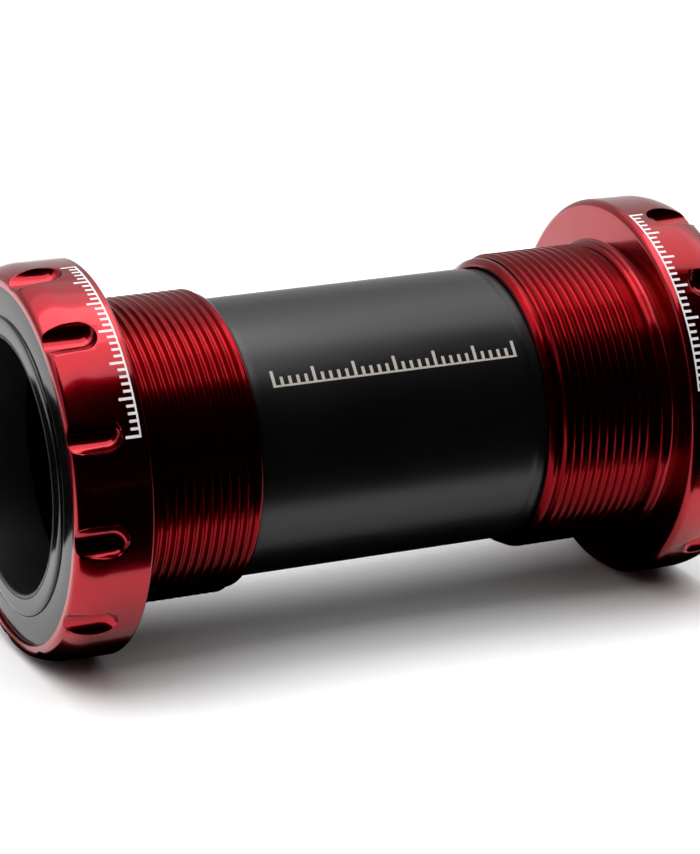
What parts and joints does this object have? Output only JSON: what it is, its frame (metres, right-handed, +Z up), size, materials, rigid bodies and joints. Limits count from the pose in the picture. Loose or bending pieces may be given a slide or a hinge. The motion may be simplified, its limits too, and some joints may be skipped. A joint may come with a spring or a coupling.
{
  "type": "bottom bracket",
  "caption": "Threaded external-cup bottom bracket: notched flanged cups with sealed ball bearings and dust shields, joined by a centre sleeve on O-rings.",
  "frame": {"origin": "on the bracket's axis, midway between the two shell faces, which is within 0.05 mm of the middle of the box", "axes": "+X along the spindle from the left cup to the right cup, +Z up, -Y to the front"},
  "size_m": [0.0838, 0.045, 0.045],
  "materials": {
    "red_anodised": "gloss red anodised",
    "black_anodised": "satin black, bead blasted",
    "shield_black": "gloss black",
    "bush_black": "satin black",
    "bearing_steel": "ground and hardened",
    "polished_ball": "lapped",
    "cage_polymer": "moulded",
    "seal_rubber": "moulded rubber"
  },
  "bodies": {
    "left_cup": {"cup_left": "red_anodised", "outer_race_left": "bearing_steel", "inboard_seal_left": "seal_rubber", "outboard_seal_left": "seal_rubber"},
    "left_rotor": {"inner_race_left": "bearing_steel", "dust_shield_left": "shield_black", "spindle_bush_left": "bush_black"},
    "left_cage": {"ball_set_left": "polished_ball", "ball_cage_left": "cage_polymer"},
    "sleeve": {"centre_sleeve": "black_anodised", "o_ring_left": "seal_rubber"},
    "right_ring": {"o_ring_right": "seal_rubber"},
    "right_cup": {"cup_right": "red_anodised", "outer_race_right": "bearing_steel", "inboard_seal_right": "seal_rubber", "outboard_seal_right": "seal_rubber"},
    "right_rotor": {"inner_race_right": "bearing_steel", "dust_shield_right": "shield_black", "spindle_bush_right": "bush_black"},
    "right_cage": {"ball_set_right": "polished_ball", "ball_cage_right": "cage_polymer"}
  },
  "joints": [
    {"name": "left_spin", "type": "hinge", "parent": "left_cup", "child": "left_rotor", "pos_m": [-0.0378, 0, 0], "axis": [1, 0, 0], "continuous": true},
    {"name": "left_cage_turn", "type": "hinge", "parent": "left_cup", "child": "left_cage", "pos_m": [-0.0378, 0, 0], "axis": [1, 0, 0], "continuous": true},
    {"name": "sleeve_turn", "type": "hinge", "parent": "left_cup", "child": "sleeve", "pos_m": [0, 0, 0], "axis": [1, 0, 0], "continuous": true},
    {"name": "right_cup_turn", "type": "hinge", "parent": "sleeve", "child": "right_ring", "pos_m": [0.0238, 0, 0], "axis": [1, 0, 0], "continuous": true},
    {"name": "right_cup_slide", "type": "slide", "parent": "right_ring", "child": "right_cup", "axis": [1, 0, 0], "range_m": [-0.001, 0.005]},
    {"name": "right_spin", "type": "hinge", "parent": "right_cup", "child": "right_rotor", "pos_m": [0.0378, 0, 0], "axis": [1, 0, 0], "continuous": true},
    {"name": "right_cage_turn", "type": "hinge", "parent": "right_cup", "child": "right_cage", "pos_m": [0.0378, 0, 0], "axis": [1, 0, 0], "continuous": true}
  ],
  "couplings": [
    {"joint": "left_cage_turn", "follows": "left_spin", "ratio": 0.45464},
    {"joint": "right_cage_turn", "follows": "right_spin", "ratio": 0.45464}
  ]
}
